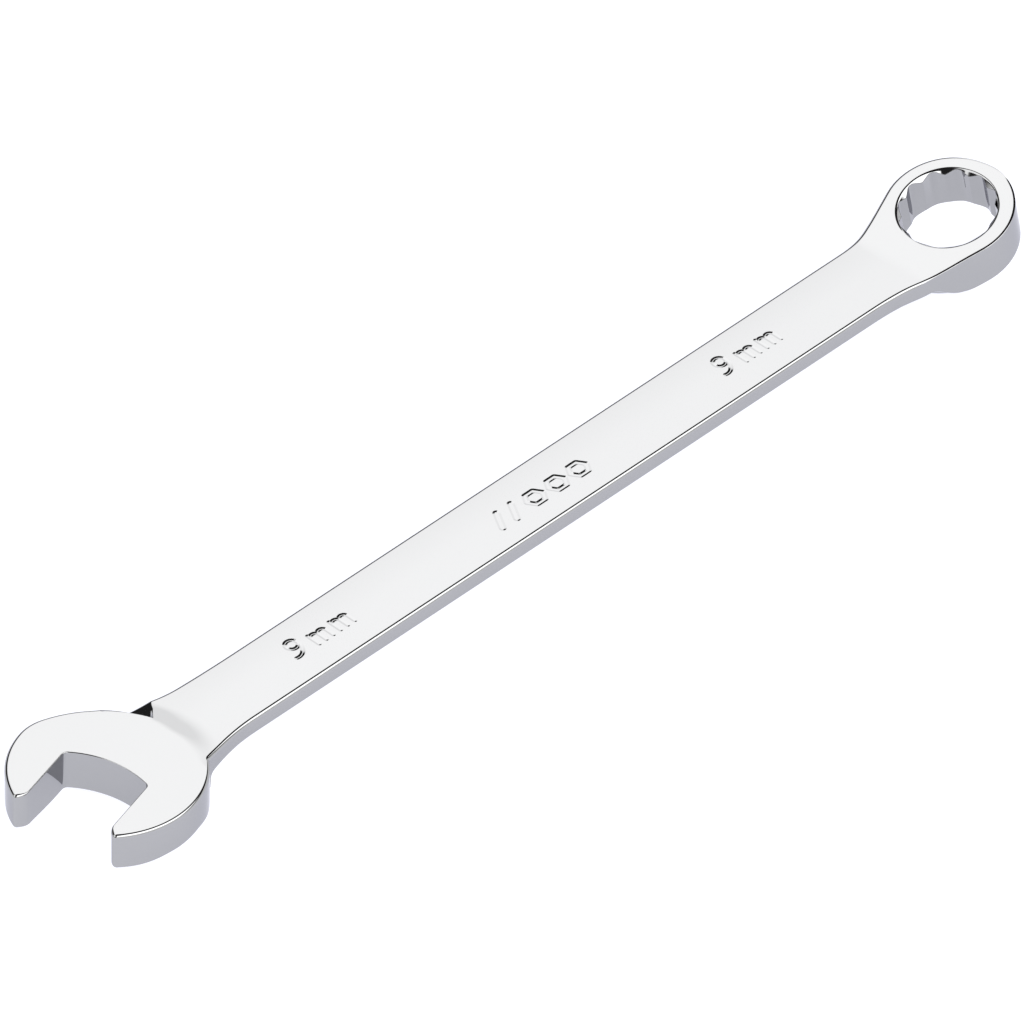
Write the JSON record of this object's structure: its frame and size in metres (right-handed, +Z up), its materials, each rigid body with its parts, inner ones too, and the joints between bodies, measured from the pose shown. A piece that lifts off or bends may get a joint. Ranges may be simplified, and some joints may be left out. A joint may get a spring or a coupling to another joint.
{
  "type": "combination wrench",
  "caption": "Combination wrench, 9 mm: angled open end, slim flat shank and a tilted 12-point box end.",
  "frame": {"origin": "middle of the overall length and width, at the height of the lowest point, which is the heel of the box end", "axes": "+X along the shank from the open end to the box end, +Z up, square to the flat top faces of the open head and shank; +Y to the left when looking along +X"},
  "size_m": [0.1342, 0.0192, 0.0084],
  "materials": {
    "chrome": "polished"
  },
  "bodies": {
    "root": {"open_end_head": "chrome", "shank": "chrome", "box_end_head": "chrome"}
  },
  "joints": []
}
